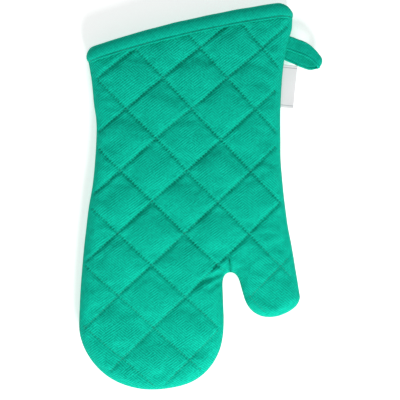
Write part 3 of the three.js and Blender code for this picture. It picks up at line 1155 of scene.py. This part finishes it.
def mixedColour(tree, factor, first, second):
    mix = node(tree, "ShaderNodeMix", {"Factor": factor, "A": first, "B": second}, data_type="RGBA")
    return [s for s in mix.outputs if s.type == "RGBA"][0]


def stored(tree, name, output="Vector"):
    return node(tree, "ShaderNodeAttribute", attribute_name=name).outputs[output]


def newMaterial(name, constants):
    material = bpy.data.materials.new(name)
    material.use_nodes = True
    tree = material.node_tree
    tree.nodes.clear()
    shader = node(tree, "ShaderNodeBsdfPrincipled", constants)
    node(tree, "ShaderNodeOutputMaterial", {"Surface": shader.outputs["BSDF"]})
    return material, tree, shader


def surface(tree, shader, colour, height, strength, distance):
    # links the colour, and a bump as deep as distance in mm
    bump = node(tree, "ShaderNodeBump", {"Height": height, "Strength": strength, "Distance": distance * mm})
    tree.links.new(colour, shader.inputs["Base Color"])
    tree.links.new(bump.outputs[0], shader.inputs["Normal"])


# scale, detail and roughness of the cloth's unevenness
clothNoise = {"ripple": (70, 2), "slub": (520, 3, 0.6), "patch": (26, 4)}
paintedShade = {
    "hole": -0.28,         # painted shade in the needle holes and in the dip along the seams
    "dip": -0.04,
    "holeFall": -1.8,      # how fast each fades with the square of the distance in mm
    "dipFall": -0.45,
    "rim": 0.62,           # painted shade where the cloth turns away into the side seam, and its width
    "rimWidth": 4.5,
}


def seamShade(tree, name):
    # painted shade in the needle holes and in the dip along one fan of quilting
    across, along, shown = node(tree, "ShaderNodeSeparateXYZ", {0: stored(tree, name)}).outputs
    away = maths(tree, "MULTIPLY", across, 1 / mm)
    square = maths(tree, "MULTIPLY", away, away)
    thin = maths(tree, "EXPONENT", maths(tree, "MULTIPLY", square, paintedShade["holeFall"]))
    wide = maths(tree, "EXPONENT", maths(tree, "MULTIPLY", square, paintedShade["dipFall"]))
    beat = maths(tree, "COSINE", maths(tree, "MULTIPLY", along, 2 * math.pi / (quilt["pitch"] * mm)))
    holeShade = maths(tree, "MULTIPLY", thin, mapped(tree, beat, 0.1, -0.9))
    return maths(tree, "MULTIPLY", holeShade, shown), maths(tree, "MULTIPLY", wide, shown)


def quiltedShade(tree, shade, cloth):
    # painted shade: needle holes and dips of both fans, the hollows of the creases, and the cloth turning
    # away into the side seam
    for fan in ("rising", "falling"):
        holeShade, dip = seamShade(tree, fan)
        hole = maths(tree, "MULTIPLY", holeShade, paintedShade["hole"])
        soft = maths(tree, "MULTIPLY", dip, paintedShade["dip"])
        keep = maths(tree, "ADD", maths(tree, "ADD", hole, soft), 1.0)
        shade = maths(tree, "MULTIPLY", shade, keep)
    # painted shade in the hollows of the creases
    fold = maths(tree, "SUBTRACT", 1.0, stored(tree, "fold", "Fac"))
    shade = maths(tree, "MULTIPLY", shade, fold)
    # painted shade towards the side seam, where the cloth turns away
    walk = node(tree, "ShaderNodeSeparateXYZ", {0: cloth}).outputs[2]
    rim = mapped(tree, walk, 0, paintedShade["rimWidth"] * mm, (paintedShade["rim"], 1))
    return maths(tree, "MULTIPLY", shade, rim)


def wovenCotton(name, look):
    # diagonal wales crossed by the weft, with slubs and a soft fuzz: dull, slightly uneven, never glossy
    material, tree, shader = newMaterial(name, {
        "Roughness": look["roughness"], "Specular IOR Level": 0.08, "Sheen Weight": look["sheen"],
        "Sheen Roughness": 0.5, "Sheen Tint": linear(look["light"])})
    cloth = stored(tree, "cloth")
    ripple = noise(tree, cloth, *clothNoise["ripple"]).outputs["Color"]
    shift = scaled(tree, vectorMaths(tree, "SUBTRACT", ripple, (0.5, 0.5, 0.5)), look["wander"] * mm)
    spot = vectorMaths(tree, "ADD", cloth, shift)
    waves = []
    for angle, period in look["wales"]:
        across = math.radians(angle - 90)
        size = 2 * math.pi / (period * mm)
        along = (math.cos(across) * size, math.sin(across) * size, 0)
        waves.append(maths(tree, "SINE", vectorMaths(tree, "DOT_PRODUCT", spot, along)))
    turns = noise(tree, cloth, look["turns"], 1).outputs["Fac"]
    turns = maths(tree, "ADD", turns, vectorMaths(tree, "DOT_PRODUCT", cloth, look["drift"]))
    turns = mapped(tree, turns, 0.44, 0.56, (1 - look["weft"], look["weft"]))
    weave = node(tree, "ShaderNodeMix", {"Factor": turns, "A": waves[0], "B": waves[1]}, data_type="FLOAT")
    slub = noise(tree, cloth, *clothNoise["slub"]).outputs["Fac"]
    slub = mapped(tree, slub, 0.3, 0.7, (-look["slub"], look["slub"]))
    height = maths(tree, "ADD", weave.outputs[0], slub)
    tone = mapped(tree, height, -1.5, 1.5)
    colour = mixedColour(tree, tone, linear(look["dark"]), linear(look["light"]))
    patch = noise(tree, cloth, *clothNoise["patch"]).outputs["Fac"]
    shade = mapped(tree, patch, 0.3, 0.7, (1 - look["patch"], 1 + look["patch"]))
    # the quilted cloth gets painted shade along its seams, in its creases and towards the side seam
    if look.get("seams"):
        shade = quiltedShade(tree, shade, cloth)
    surface(tree, shader, scaled(tree, colour, shade), height, look["bump"], 0.12)
    return material


cottonTwill = wovenCotton("cottonTwill", {
    # teal 2/1 twill, drawn about twice as coarse as the real wales so that they show
    "dark": "#008e78", "light": "#09d8b5", "wales": [(36, 1.84), (-39, 1.75)], "weft": 0.92,
    "turns": 110, "drift": (0.5, -0.35, 0), "wander": 0.9, "slub": 0.7, "patch": 0.045,
    "bump": 0.6, "roughness": 0.9, "sheen": 0.1, "seams": True})
cottonTape = wovenCotton("cottonBiasTape", {
    # plain weave of the same dye lot, cut on the cross: closer and smoother than the twill
    "dark": "#00967f", "light": "#08caaa", "wales": [(52, 1.7), (-38, 1.7)], "weft": 0.6,
    "turns": 200, "drift": (0, 0, 0), "wander": 0.3, "slub": 0.7, "patch": 0.03,
    "bump": 0.5, "roughness": 0.88, "sheen": 0.1})
liningCotton = wovenCotton("liningCotton", {
    "dark": "#0b957d", "light": "#10ab90", "wales": [(0.5, 1.2), (90, 1.2)], "weft": 0.5,
    "turns": 200, "drift": (0, 0, 0), "wander": 0.4, "slub": 0.5, "patch": 0.04,
    "bump": 0.3, "roughness": 0.92, "sheen": 0.1})
grainContrast = 0.12


def simpleFibre(name, hexColour, scale, bumpSize, roughness, sheen):
    # loose fibre or thread, seen as an even grain
    material, tree, shader = newMaterial(name, {"Roughness": roughness, "Sheen Weight": sheen})
    spot = node(tree, "ShaderNodeTexCoord").outputs["Object"]
    grain = noise(tree, spot, scale, 4).outputs["Fac"]
    darker, lighter = linear(hexColour, 1 - grainContrast), linear(hexColour, 1 + grainContrast)
    surface(tree, shader, mixedColour(tree, grain, darker, lighter), grain, 0.5, bumpSize)
    return material


polyesterWadding = simpleFibre("polyesterWadding", "#eeede8", 900, 0.4, 0.95, 0.2)
sewingThread = simpleFibre("spunPolyesterThread", "#08a084", 3000, 0.1, 0.6, 0.1)


def wovenLabel(name):
    # white polyester satin, finely ribbed across, with a grey marker line woven near each end; no lettering
    material, tree, shader = newMaterial(name, {"Roughness": 0.5})
    down = node(tree, "ShaderNodeSeparateXYZ", {0: stored(tree, "cloth")}).outputs[1]
    fromMiddle = maths(tree, "ABSOLUTE", maths(tree, "SUBTRACT", down, labelLength / 2 * mm))
    lineAt = (labelLength / 2 - label["lineIn"]) * mm
    line = maths(tree, "COMPARE", fromMiddle, lineAt, label["lineHalf"] * mm)
    ribs = maths(tree, "SINE", maths(tree, "MULTIPLY", down, 2 * math.pi / (label["rib"] * mm)))
    surface(tree, shader, mixedColour(tree, line, linear("#f4f4f5"), linear("#c3c6ca")), ribs, 0.35, 0.05)
    return material


labelSatin = wovenLabel("wovenLabelSatin")


def dress(objects, material):
    for obj in objects:
        obj.data.materials.clear()
        obj.data.materials.append(material)


dress(outerPanels, cottonTwill)
dress(waddingPanels, polyesterWadding)
dress(liningPanels, liningCotton)
dress([cuffBinding, hangingLoop], cottonTape)
dress(threads, sewingThread)
dress([sideLabel], labelSatin)
print("materials done")

# Stage
bm = bmesh.new()
bmesh.ops.create_grid(bm, x_segments=1, y_segments=1, size=3)
floor = toMesh(bm, "floor")
floor.location.z = -0.0002
floor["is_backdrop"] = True
white = (1, 1, 1, 1)
# the floor glows a little, like a light table, so that it stays white
floorMaterial, _, _ = newMaterial("palePaper", {
    "Base Color": linear("#f7f7f7"), "Roughness": 1, "Specular IOR Level": 0,
    "Emission Color": white, "Emission Strength": 0.5})
dress([floor], floorMaterial)

world = bpy.data.worlds.new("studio")
bpy.context.scene.world = world
world.use_nodes = True
world.node_tree.nodes["Background"].inputs["Color"].default_value = white
world.node_tree.nodes["Background"].inputs["Strength"].default_value = 0.45

lamp = bpy.data.lights.new("key", "AREA")
lamp.shape, lamp.size, lamp.energy = "DISK", 0.4, 15.8
key = bpy.data.objects.new("key", lamp)
bpy.context.scene.collection.objects.link(key)
key.location = (0.3, -1.05, 0.78)
key.rotation_euler = (-key.location).to_track_quat("-Z", "Y").to_euler()

camera = bpy.data.cameras.new("camera")
camera.lens, camera.sensor_width = 100, 36
camera.clip_start, camera.clip_end = 0.01, 20
eye = bpy.data.objects.new("camera", camera)
bpy.context.scene.collection.objects.link(eye)
eye.location = (-0.00074, -0.0045, 0.965)
bpy.context.scene.camera = eye
# plain colours: the default transform washes out the teal
bpy.context.scene.view_settings.view_transform = "Standard"

low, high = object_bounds()
grown = [[round(d / mm, 2) for d in gap] for gap in (cadLow - low, high - cadHigh)]
print("past the CAD box by", *grown, "mm")
